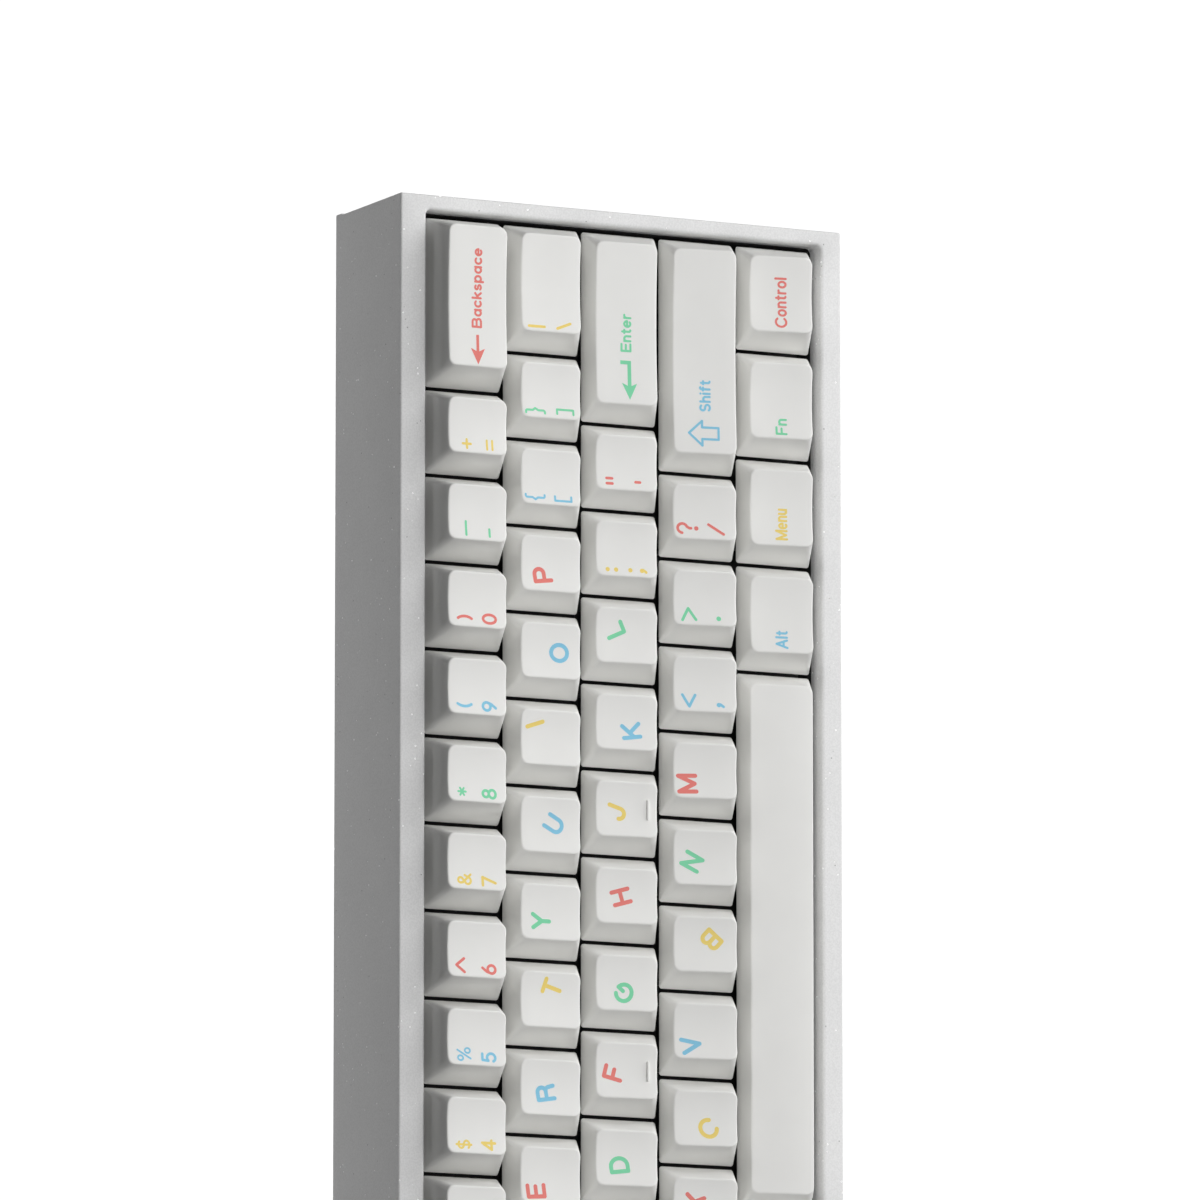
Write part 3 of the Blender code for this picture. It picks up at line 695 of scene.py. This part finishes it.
def make_cap(cap):
    """Keycap: sloping sides, a soft rim, the dished top and the hollow underneath."""
    straight = max(6, round(cap.width / STRAIGHT_STEP))
    columns = straight + 2 * CORNER_STEPS
    steps = (straight, DEPTH_STEPS)
    skirt = [Vector(point) for point in cap.skirt().level(0, *steps)]
    rim = [Vector((x, y, cap.top_at(x, y))) for x, y in cap.rim().around(*steps)]
    inner = [Vector((x, y, cap.top_at(x, y))) for x, y in cap.rim().grown(-RIM_ROUND).around(*steps)]
    ceiling = cap.section(CAP_CEILING).grown(-CAP_WALL).level(CAP_CEILING, *steps)
    pocket = cap.skirt().grown(-CAP_WALL).level(0, *steps)
    base = cap.skirt().grown(-LOWER_EDGE).level(0, *steps)
    bm = bmesh.new()
    rings = [add_ring(bm, points) for points in (ceiling, pocket, base)]
    shoulder = [corner + (low - corner).normalized() * RIM_ROUND for low, corner in zip(skirt, rim)]
    for step in range(SIDE_STEPS + 1):
        share = step / SIDE_STEPS
        lift = LOWER_EDGE / SIDE_HEIGHT * (1 - share)
        rings.append(add_ring(bm, [low.lerp(high, max(share, lift)) for low, high in zip(skirt, shoulder)]))
    for step in range(1, RIM_STEPS + 1):
        share = step / RIM_STEPS
        points = [rim_curve(a, b, c, share) for a, b, c in zip(shoulder, rim, inner)]
        rings.append(add_ring(bm, points))
    join_rings(bm, rings)
    fill_ring(bm, rings[-1], columns, DEPTH_STEPS, cap.top_at)
    fill_ring(bm, rings[0], columns, DEPTH_STEPS, lambda x, y: CAP_CEILING)
    boss = ((BOSS_RADIUS, CAP_CEILING + BOSS_SINK), (BOSS_RADIUS, BOSS_BOTTOM + BOSS_CHAMFER),
            (BOSS_RADIUS - BOSS_CHAMFER, BOSS_BOTTOM))
    centre = Vector((cap.x, cap.y, 0))
    add_plug(bm, [[point + centre for point in disc(radius, z)] for radius, z in boss])
    return add_object("cap_" + cap.name, bm, MATERIALS["cap"])


# Legends


def stroke_points(stroke):
    """Points of a stroke, with its arcs sampled."""
    points = []
    for item in stroke:
        x, y, *radii = (value / GLYPH_UNITS for value in item[:4])
        if not radii:
            points.append(Vector((x, y)))
            continue
        start, end = item[4:] or (0, 360)
        count = max(1, round(abs(end - start) / ARC_STEP))
        for step in range(count + 1):
            angle = math.radians(start + (end - start) * step / count)
            points.append(Vector((x + radii[0] * math.cos(angle), y + radii[1] * math.sin(angle))))
    return points


def capsule(start, end, radius):
    """Outline of a stroke piece: a straight band with round ends."""
    along = end - start
    heading = math.atan2(along.y, along.x)
    outline = []
    for centre, turn in ((end, -math.pi / 2), (start, math.pi / 2)):
        for step in range(CAP_ARC_STEPS + 1):
            angle = heading + turn + math.pi * step / CAP_ARC_STEPS
            outline.append(centre + Vector((math.cos(angle), math.sin(angle))) * radius)
    return outline


def text_strokes(text):
    """Strokes of a line of text of cap height 1 that starts at the origin, and its width."""
    strokes = []
    left = 0.0
    for character in text:
        if character == " ":
            left += SPACE_WIDTH
            continue
        width, parts = GLYPHS[character]
        strokes += [[point + Vector((left, 0)) for point in stroke_points(part)] for part in parts]
        left += width / GLYPH_UNITS + TRACKING
    return strokes, left - TRACKING


def stroke_shapes(strokes, stroke_width, place):
    """Filled outlines of strokes; place is a 2D function of a point."""
    shapes = []
    for points in strokes:
        placed = [place(point) for point in points]
        for start, end in zip(placed, placed[1:]):
            shapes.append(capsule(start, end, stroke_width / 2))
    return shapes


def glyph_shapes(character, x, y, height, stroke_width, turn=0.0, align="middle"):
    """Outlines of one character with the middle of its height at y and its middle or left edge at x."""
    strokes, width = text_strokes(character)
    size = height - stroke_width
    stroke_width *= FINE_STROKES.get(character, 1.0)
    middle = Vector((width / 2, 0.5)) if align == "middle" else Vector((-stroke_width / 2 / size, 0.5))
    turned = Matrix.Rotation(math.radians(turn), 2) * size
    return stroke_shapes(strokes, stroke_width, lambda point: turned @ (point - middle) + Vector((x, y)))


def word_shapes(word, left, right, y, height):
    """Outlines of a word that reaches from left to right, with the middle of its cap height at y."""
    strokes, width = text_strokes(word)
    size = height - WORD_STROKE
    stretch = (right - left - WORD_STROKE) / width
    start = Vector((left + WORD_STROKE / 2, y - size / 2))
    return stroke_shapes(
        strokes, WORD_STROKE, lambda point: Vector((point.x * stretch, point.y * size)) + start)


def box_of(shape):
    across = [point.x for point in shape]
    along = [point.y for point in shape]
    return min(across), max(across), min(along), max(along)


def within(point, shape, box):
    """Whether a flat outline, whose box is given, holds a point."""
    if not (box[0] <= point.x <= box[1] and box[2] <= point.y <= box[3]):
        return False
    inside = False
    for first, second in zip(shape, shape[-1:] + shape[:-1]):
        if (first.y > point.y) != (second.y > point.y):
            share = (point.y - first.y) / (second.y - first.y)
            if point.x < first.x + share * (second.x - first.x):
                inside = not inside
    return inside


def add_inlay(name, shapes, cap, material):
    """Thin coloured solid, let into the top of a cap, of the union of flat outlines."""
    verts = []
    faces = []
    for shape in shapes:
        faces.append(list(range(len(verts), len(verts) + len(shape))))
        verts += shape
    points, _, triangles, _, _, _ = delaunay_2d_cdt(verts, [], faces, 0, CUT_TOLERANCE)
    bm = bmesh.new()
    made = [bm.verts.new((point.x, point.y, 0)) for point in points]
    boxes = [box_of(shape) for shape in shapes]
    for triangle in triangles:
        middle = sum((points[index] for index in triangle), Vector((0, 0))) / 3
        if any(within(middle, shape, box) for shape, box in zip(shapes, boxes)):
            bm.faces.new([made[index] for index in triangle])
    bmesh.ops.delete(bm, geom=[vert for vert in made if not vert.link_faces], context="VERTS")
    reach = cap.half_top
    for step in range(1, int(2 * reach / INLAY_STRIP)):
        cut = {"plane_co": (step * INLAY_STRIP - reach, 0, 0), "plane_no": (1, 0, 0)}
        bmesh.ops.bisect_plane(bm, geom=bm.verts[:] + bm.edges[:] + bm.faces[:], dist=CUT_TOLERANCE, **cut)
    lower = bmesh.ops.duplicate(bm, geom=bm.verts[:] + bm.edges[:] + bm.faces[:])
    copies = set(item for item in lower["geom"] if isinstance(item, bmesh.types.BMVert))
    rims = [edge for edge in bm.edges if edge.is_boundary and edge.verts[0] not in copies]
    edge_pairs = [tuple(edge.verts) for edge in rims]
    below = {vert: lower["vert_map"][vert] for pair in edge_pairs for vert in pair}
    for vert in bm.verts:
        lift = -INLAY_DEPTH if vert in copies else INLAY_LIFT
        vert.co.z = cap.top(vert.co.x, vert.co.y) + lift
        vert.co.x += cap.x
        vert.co.y += cap.y
    for first, second in edge_pairs:
        bm.faces.new((first, second, below[second], below[first]))
    return add_object(name, bm, MATERIALS[material], smooth_angle=30.0)


def arrow_shapes(tip, tail, shaft, head_width, head_length):
    """A filled arrow that points left, from tail to tip, with a notched head."""
    tip = Vector(tip)
    tail = Vector(tail)
    half = shaft / 2
    notch = head_length * ARROW_NOTCH
    start = tip.x + head_length - notch
    bar = [Vector((start, tip.y - half)), Vector((tail.x, tip.y - half)),
           Vector((tail.x, tip.y + half)), Vector((start, tip.y + half))]
    head = [tip, Vector((tip.x + head_length, tip.y - head_width / 2)), Vector((start, tip.y)),
            Vector((tip.x + head_length, tip.y + head_width / 2))]
    return [bar, head]


def shift_arrow(x, y):
    """Outline of a broad arrow that points to the rear."""
    reach, barb, shaft, neck = 3.3, 2.75, 1.3, 0.35
    corners = ((0, reach), (barb, neck), (shaft, neck), (shaft, -reach), (-shaft, -reach),
               (-shaft, neck), (-barb, neck), (0, reach))
    points = [Vector(corner) + Vector((x, y)) for corner in corners]
    return [capsule(start, end, SHIFT_STROKE / 2) for start, end in zip(points, points[1:])]


# Depth of an arrow head's notch as a share of its length, and the stroke of the broad arrows. The legends
# with arrows have their word's ends, middle and height, then the arrow's tip, tail, shaft and head.
ARROW_NOTCH = 0.22
SHIFT_STROKE = 0.52
BACKSPACE_WORD = (-7.0, 10.6, 2.1, 2.53)
BACKSPACE_ARROW = ((-15.1, 1.95), (-8.5, 1.95), 0.68, 3.4, 3.6)
ENTER_WORD = (-6.3, 2.2, 1.95, 2.56)
ENTER_ARROW = ((-16.9, 1.25), (-8.2, 1.25), 0.85, 3.5, 3.7)
ENTER_STUB = ((-9.05, 0.83), (-8.2, 0.83), (-8.2, 3.3), (-9.05, 3.3))
SHIFT_Y = 1.8
SHIFT_HEIGHT = 2.6
SHIFT_PLACES = {"right_shift": (-13.4, -6.3, -18.2), "left_shift": (-8.5, -1.4, -13.3)}
SHIFT_ARROW_Y = 2.2


def wide_key_shapes(name):
    """Colour and outlines of a legend with an arrow beside its word."""
    if name == "backspace":
        return "red", word_shapes("Backspace", *BACKSPACE_WORD) + arrow_shapes(*BACKSPACE_ARROW)
    if name == "enter":
        stub = [Vector(corner) for corner in ENTER_STUB]
        return "green", word_shapes("Enter", *ENTER_WORD) + arrow_shapes(*ENTER_ARROW) + [stub]
    if name in SHIFT_PLACES:
        left, right, arrow = SHIFT_PLACES[name]
        word = word_shapes("Shift", left, right, SHIFT_Y, SHIFT_HEIGHT)
        return "blue", word + shift_arrow(arrow, SHIFT_ARROW_Y)
    return None


def legend_of(cap):
    """Colour and outlines of a cap's legend, or None for a blank cap."""
    name = cap.name
    if name in LETTERS:
        colour, x, y, turn = LETTERS[name]
        return colour, glyph_shapes(name.upper(), x, y, LETTER, LETTER_STROKE, turn)
    if name in TIERS:
        colour, upper, lower = TIERS[name]
        left = TIER_MARGIN - cap.half_top
        shapes = glyph_shapes(upper, left, UPPER_Y, TIER, TIER_STROKE, align="left")
        return colour, shapes + glyph_shapes(lower, left, LOWER_Y, TIER, TIER_STROKE, align="left")
    if name in WORDS:
        colour, word, left, right, height = WORDS[name]
        shift = (1.25 * KEY_PITCH - KEY_GAP) / 2 - CAP_SIDE_TAPER - cap.half_top
        return colour, word_shapes(word, left + shift, right + shift, WORD_Y, height)
    return wide_key_shapes(name)


def add_block(bm, x, y, half_x, half_y, low, high, corner=0.2, inset=0.25):
    """Upright block with rounded corners and softened ends, as an island of its own."""
    block = Outline(x, half_x, y - half_y, y + half_y, corner, corner)
    levels = ((-inset, low), (0.0, low + inset), (0.0, high - inset), (-inset, high))
    add_plug(bm, [block.grown(grow).level(z, 2, 2) for grow, z in levels])


def make_stem(cap):
    """Slider of the switch under a cap, with the cross that the cap is pushed on to."""
    bm = bmesh.new()
    add_block(bm, cap.x, cap.y, STEM_WIDTH / 2, STEM_WIDTH / 2, -STEM_DEPTH, STEM_SHOULDER, STEM_CORNER)
    for half_x, half_y in ((CROSS_REACH, CROSS_HALF), (CROSS_HALF, CROSS_REACH)):
        add_block(bm, cap.x, cap.y, half_x, half_y, STEM_SHOULDER - CROSS_SINK, BOSS_BOTTOM + CROSS_HEIGHT)
    return add_object("stem_" + cap.name, bm, MATERIALS["stem"])


def make_homing_bar(cap):
    """The small raised bar near the front edge of the F and J keys."""
    bm = bmesh.new()
    end = HOMING_LENGTH / 2
    outline = capsule(Vector((-end, 0)), Vector((end, 0)), HOMING_WIDTH / 2)
    sections = []
    for inset, z in HOMING_PROFILE:
        section = []
        for point in outline:
            shrink = 1 - inset / (HOMING_WIDTH / 2)
            middle = math.copysign(end, point.x)
            x = middle + (point.x - middle) * shrink
            y = HOMING_Y + point.y * shrink
            section.append((cap.x + x, cap.y + y, cap.top(x, y) + z))
        sections.append(section)
    add_plug(bm, sections)
    return add_object("homing_bar_" + cap.name, bm, MATERIALS["cap"])


def make_keys():
    stands_for = {}
    for cap in cap_list():
        body = cap_body(cap)
        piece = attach(make_cap(cap), body)
        stands_for.setdefault(body, piece)
        legend = legend_of(cap)
        if legend:
            colour, shapes = legend
            inlay = add_inlay("legend_" + cap.name, shapes, cap, colour)
            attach(inlay, body)
        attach(make_stem(cap), body)
        if cap.name in ("f", "j"):
            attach(make_homing_bar(cap), body)
    for body, piece in stands_for.items():
        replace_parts(piece, body)


# Case


# The case, in millimetres: its edges and corners, the opening around the keys with the ledge and the black
# strip in it that paints the shade deep in the opening, and the lip that runs round its foot at both ends.
CASE_LOW, CASE_HIGH = in_plate_frame("case_frame")
CASE_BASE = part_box("case_frame")[0].z / MM
CASE_STEPS = (40, 16)
CASE_SMOOTH = 32.0
CASE_CORNER = 0.35
BEVEL = 0.5
BEVEL_STEPS = 4
OPENING_CORNER = 1.3
OPENING_EDGE = 0.7
OPENING_CLEARANCE = 0.9
LEDGE_CORNER = 0.5
LEDGE_TOP = -8.4
LEDGE_END = 2.6
LEDGE_SIDE = 2.1
COVER_SPACE = 2.8
LIP_HEIGHT = 2.4
LIP_REACH = 0.35
LIP_BEVEL = 0.3
# Painted shade: how far below the bezel's top the black strip starts, and how far its foot stands over the
# ledge.
SHADE_STRIP_DEPTH = 5.4
SHADE_STRIP_FOOT = 0.02

# The cable port: what it leaves free beside and above the socket, the share of its height that rounds its
# corners, its outer chamfer, and how far the cut reaches inwards and outwards.
PORT_SIDE = 2.0
PORT_RISE = 2.15
PORT_ROUND = 0.7
PORT_EDGE = 0.5
PORT_INSIDE = 1.5
PORT_OUTSIDE = 3.0

# The rubber feet and the screws of the bottom cover. The foot's profile has the growth of its outline and
# the height over its lowest plane.
FOOT_CORNER = 3.6
FOOT_STEPS = (24, 4)
FOOT_SINK = 0.3
FOOT_PROFILE = ((0.0, 0.5), (-0.15, 0.15), (-0.5, 0.0), (-1.3, 0.0), (-1.5, FOOT_SINK))
SCREW_SIDE = 2.2
SCREW_END = 6.0
SCREW_SHANK = 0.95
SCREW_TIP = 0.6
SCREW_HEAD = 2.0
SCREW_GAP = 0.05
SCREW_HEIGHT = 1.1
SCREW_SOCKET = 1.15
SCREW_RECESS = 0.8


def base_height(y, rise=0.0):
    """Height in the plate's frame of the plane `rise` above the case's lower edge."""
    angle = math.atan2(TILT[2][1], TILT[1][1])
    world = CASE_BASE + rise - (PLACE @ Vector((0, 0, 0))).z / MM
    return (world - y * math.sin(angle)) / math.cos(angle)


def case_opening(side=0.0, end=0.0, corner=OPENING_CORNER):
    """The opening around the keys, or an outline that lies inside it by `side` and `end`."""
    half = LAYOUT_X + OPENING_CLEARANCE - end
    rear = LAYOUT_Y + OPENING_CLEARANCE - side
    return Outline(0, half, side - OPENING_CLEARANCE, rear, corner, corner)


def make_case():
    """Walls and bezel as one ring-shaped shell with rounded edges."""
    outer = Outline(0, CASE_HIGH.x, CASE_LOW.y, CASE_HIGH.y, CASE_CORNER, CASE_CORNER)
    opening = case_opening()
    ledge = case_opening(LEDGE_SIDE, LEDGE_END, LEDGE_CORNER)
    top = CASE_HIGH.z

    def flat(outline, z):
        return outline.level(z, *CASE_STEPS)

    def sloped(outline, rise):
        return [(x, y, base_height(y, rise)) for x, y in outline.around(*CASE_STEPS)]

    foot = Outline(0, CASE_HIGH.x + LIP_REACH, CASE_LOW.y, CASE_HIGH.y, CASE_CORNER, CASE_CORNER)
    sections = [sloped(foot.grown(-LIP_BEVEL), 0.0), sloped(foot, LIP_BEVEL), sloped(foot, LIP_HEIGHT)]
    sections.append(sloped(outer, LIP_HEIGHT + LIP_REACH))
    for step in range(BEVEL_STEPS + 1):
        angle = math.pi / 2 * step / BEVEL_STEPS
        inset = BEVEL * (1 - math.cos(angle))
        sections.append(flat(outer.grown(-inset), top - BEVEL * (1 - math.sin(angle))))
    for step in range(BEVEL_STEPS + 1):
        angle = math.pi / 2 * step / BEVEL_STEPS
        inset = OPENING_EDGE * (1 - math.sin(angle))
        sections.append(flat(opening.grown(inset), top - OPENING_EDGE * (1 - math.cos(angle))))
    sections += [flat(opening, LEDGE_TOP), flat(ledge, LEDGE_TOP)]
    sections += [sloped(ledge, COVER_SPACE), sloped(opening, COVER_SPACE), sloped(opening, 0.0)]
    bm = bmesh.new()
    rings = [add_ring(bm, section) for section in sections]
    join_rings(bm, rings, closed=True)
    return add_object("case_shell", bm, MATERIALS["case"], smooth_angle=CASE_SMOOTH)


def make_painted_shade_strip():
    """Black strip round the plate, against the inner walls: painted shade that darkens them below the bezel.
    """
    # Painted shade: the black strip stands for the shade that deepens down the inner walls towards the plate.
    top = CASE_HIGH.z - SHADE_STRIP_DEPTH
    bottom = LEDGE_TOP + SHADE_STRIP_FOOT
    bm = bmesh.new()
    levels = ((-0.02, bottom), (-0.02, top), (-0.1, top + 0.08), (-0.25, top), (-0.3, top - 0.2),
              (-0.3, bottom))
    rings = [add_ring(bm, case_opening().grown(grow).level(z, *CASE_STEPS)) for grow, z in levels]
    join_rings(bm, rings, closed=True)
    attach(add_object("foam_lining", bm, MATERIALS["lining"]), "case")


def cut_port(case):
    """Cuts the cable port through the rear wall, behind the socket."""
    low, high = in_plate_frame("usb_socket")
    middle = (low + high) / 2
    half_x = (high.x - low.x) / 2 + PORT_SIDE
    half_z = (high.z - low.z) / 2 + PORT_RISE
    radius = half_z * PORT_ROUND
    bm = bmesh.new()
    outline = Outline(middle.x, half_x, middle.z - half_z, middle.z + half_z, radius, radius)
    wall = CASE_HIGH.y
    levels = ((0, LAYOUT_Y - PORT_INSIDE), (0, wall - PORT_EDGE), (PORT_EDGE, wall),
              (PORT_EDGE, wall + PORT_OUTSIDE))
    add_plug(bm, [[(x, y, z) for x, z in outline.grown(grow).around(4, 2)] for grow, y in levels])
    cutter = add_object("port_cutter", bm, MATERIALS["case"])
    modifier = case.modifiers.new("port", "BOOLEAN")
    modifier.operation = "DIFFERENCE"
    modifier.solver = "EXACT"
    modifier.object = cutter
    graph = bpy.context.evaluated_depsgraph_get()
    mesh = bpy.data.meshes.new_from_object(case.evaluated_get(graph))
    case.modifiers.clear()
    case.data = mesh
    bpy.data.objects.remove(cutter, do_unlink=True)
    mesh.set_sharp_from_angle(angle=math.radians(CASE_SMOOTH))


def make_foot(node):
    """Rubber strip under the case, with a soft lower edge and a sunk middle."""
    low, high = (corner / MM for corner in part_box(node))
    pad = Outline((low.x + high.x) / 2, (high.x - low.x) / 2, low.y, high.y, FOOT_CORNER, FOOT_CORNER)
    levels = [(0.0, high.z + FOOT_SINK)] + [(grow, low.z + rise) for grow, rise in FOOT_PROFILE]
    straight, across = FOOT_STEPS
    bm = bmesh.new()
    rings = [add_ring(bm, pad.grown(grow).level(z, straight, across)) for grow, z in levels]
    join_rings(bm, rings)
    for ring in (rings[0], rings[-1]):
        fill_ring(bm, ring, straight + 2 * CORNER_STEPS, across, lambda x, y: ring[0].co.z)
    foot = add_object(node + "_pad", bm, MATERIALS["rubber"], Matrix.Identity(4))
    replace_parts(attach(foot, "case"), node)


def make_screws():
    """Socket-head screws that hold the bottom cover, heads down."""
    low, high = (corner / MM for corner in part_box("bottom_cover"))
    seat = low.z - SCREW_GAP
    face = seat - SCREW_HEIGHT
    sections = [disc(SCREW_SHANK, high.z - SCREW_TIP), disc(SCREW_SHANK, seat), disc(SCREW_HEAD, seat)]
    sections += [disc(SCREW_HEAD, face + 0.2), disc(SCREW_HEAD - 0.15, face), hexagon(SCREW_SOCKET, face)]
    sections += [hexagon(SCREW_SOCKET - 0.05, face + SCREW_RECESS)]
    for side in (-1, 1):
        for place, y in (("front", low.y + SCREW_END), ("middle", (low.y + high.y) / 2),
                         ("rear", high.y - SCREW_END)):
            centre = Vector((side * (high.x - SCREW_SIDE), y, 0))
            bm = bmesh.new()
            add_plug(bm, [[point + centre for point in section] for section in sections])
            name = "cover_screw_" + place + ("_left" if side < 0 else "_right")
            screw = add_object(name, bm, MATERIALS["steel"], Matrix.Identity(4), smooth_angle=30.0)
            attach(screw, "case")


def paint_cad_nodes():
    """Materials for the CAD solids whose shape is shown as it is."""
    looks = {
        "bottom_cover": "case", "circuit_board": "board", "switch_plate": "plate",
        "switch_housings": "housing", "usb_socket": "socket",
    }
    for node, look in looks.items():
        materials = frame["nodes"][node].data.materials
        materials.clear()
        materials.append(MATERIALS[look])


# Floor, light and camera


FLOOR_SIZE = 8.0


def make_floor():
    """Plain white floor. It glows evenly, casts no light on the keyboard and lets the light below through."""
    mesh = bpy.data.meshes.new("floor")
    half = FLOOR_SIZE / 2
    corners = [(-half, -half, 0), (half, -half, 0), (half, half, 0), (-half, half, 0)]
    mesh.from_pydata(corners, [], [(0, 1, 2, 3)])
    material, _, shader = new_material("pale_floor", 0.9)
    shader.inputs["Base Color"].default_value = (0.1, 0.1, 0.1, 1)
    shader.inputs["Specular IOR Level"].default_value = 0.0
    shader.inputs["Emission Color"].default_value = (1, 1, 1, 1)
    shader.inputs["Emission Strength"].default_value = 1.0
    mesh.materials.append(material)
    floor = bpy.data.objects.new("floor", mesh)
    floor.visible_diffuse = False
    floor.visible_glossy = False
    floor.visible_shadow = False
    bpy.context.scene.collection.objects.link(floor)


def make_world():
    """White surroundings that cast no light of their own."""
    world = bpy.data.worlds.new("studio")
    world.use_nodes = True
    world.node_tree.nodes["Background"].inputs["Color"].default_value = (1, 1, 1, 1)
    bpy.context.scene.world = world
    world.cycles_visibility.diffuse = False
    world.cycles_visibility.glossy = False


def add_light(name, place, size, power):
    """Soft rectangular light that faces the keyboard."""
    data = bpy.data.lights.new(name, "AREA")
    data.shape = "RECTANGLE"
    data.size, data.size_y = size
    data.energy = power
    light = bpy.data.objects.new(name, data)
    light.location = place
    light.rotation_euler = (-Vector(place)).to_track_quat("-Z", "Y").to_euler()
    light.visible_camera = False
    bpy.context.scene.collection.objects.link(light)


def make_camera():
    data = bpy.data.cameras.new("camera")
    data.lens = CAMERA_LENS
    data.clip_end = 50.0
    camera = bpy.data.objects.new("camera", data)
    camera.location = CAMERA_PLACE
    camera.rotation_euler = Euler([math.radians(angle) for angle in CAMERA_TURN], "XYZ")
    bpy.context.scene.collection.objects.link(camera)
    bpy.context.scene.camera = camera


# Name, place, size and power of each light.
LIGHTS = (
    ("front_low", (0.05, -1.1, 0.22), (2.0, 0.35), 6.0),
    ("front_right", (0.8, -0.75, 0.6), (1.0, 0.6), 6.5),
    ("front_high", (0.0, -0.6, 1.4), (1.6, 0.6), 2.9),
    ("overhead", (0.0, 0.0, 1.5), (1.5, 1.2), 12.0),
    ("bounce", (0.0, 0.0, -0.7), (2.4, 2.4), 20.0),
)


def make_stage():
    make_floor()
    make_world()
    for name, place, size, power in LIGHTS:
        add_light(name, place, size, power)
    make_camera()
    bpy.context.scene.view_settings.view_transform = "Standard"


make_stage()
make_keys()
CASE = make_case()
cut_port(CASE)
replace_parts(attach(CASE, "case"), "case_frame")
make_foot("rubber_foot_front")
make_foot("rubber_foot_rear")
make_screws()
make_painted_shade_strip()
paint_cad_nodes()
